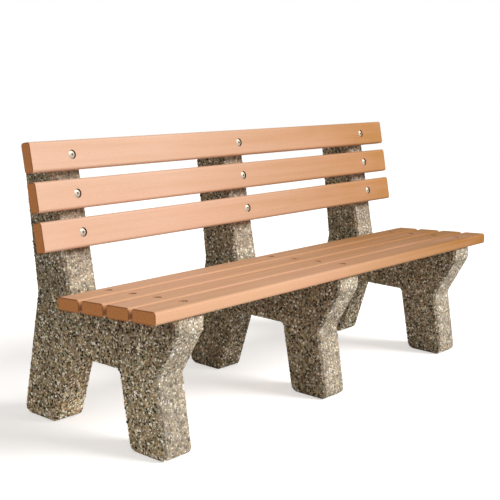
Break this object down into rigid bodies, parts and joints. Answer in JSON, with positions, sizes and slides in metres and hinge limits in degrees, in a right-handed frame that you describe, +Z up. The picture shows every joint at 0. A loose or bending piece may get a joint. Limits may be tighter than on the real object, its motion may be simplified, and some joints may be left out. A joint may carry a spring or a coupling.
{
  "type": "garden bench",
  "caption": "Free-standing park bench with a slatted seat and leaning slatted back, bolted to precast concrete frames with splayed legs.",
  "frame": {"origin": "on the ground, in the middle of the bench's length and of its depth", "axes": "+X along the planks, +Y from the front of the seat to the back, +Z up"},
  "size_m": [1.83, 0.6679, 0.8667],
  "materials": {
    "concrete": "exposed aggregate, small rounded pebbles in a grey-brown matrix",
    "plank": "cedar-coloured recycled plastic lumber with a faint lengthwise grain and darker sawn ends",
    "bolt": "zinc-plated steel",
    "washer": "zinc-plated steel",
    "insert": "yellow-passivated steel",
    "bar": "rusty mild steel"
  },
  "bodies": {
    "root": {"left_frame": "concrete", "left_frame_bars": "bar", "left_frame_inserts": "insert", "middle_frame": "concrete", "middle_frame_bars": "bar", "middle_frame_inserts": "insert", "right_frame": "concrete", "right_frame_bars": "bar", "right_frame_inserts": "insert", "seat_plank_1": "plank", "seat_plank_1_bolts": "bolt", "seat_plank_1_washers": "washer", "seat_plank_2": "plank", "seat_plank_2_bolts": "bolt", "seat_plank_2_washers": "washer", "seat_plank_3": "plank", "seat_plank_3_bolts": "bolt", "seat_plank_3_washers": "washer", "seat_plank_4": "plank", "seat_plank_4_bolts": "bolt", "seat_plank_4_washers": "washer", "back_plank_1": "plank", "back_plank_1_bolts": "bolt", "back_plank_1_washers": "washer", "back_plank_2": "plank", "back_plank_2_bolts": "bolt", "back_plank_2_washers": "washer", "back_plank_3": "plank", "back_plank_3_bolts": "bolt", "back_plank_3_washers": "washer"}
  },
  "joints": []
}
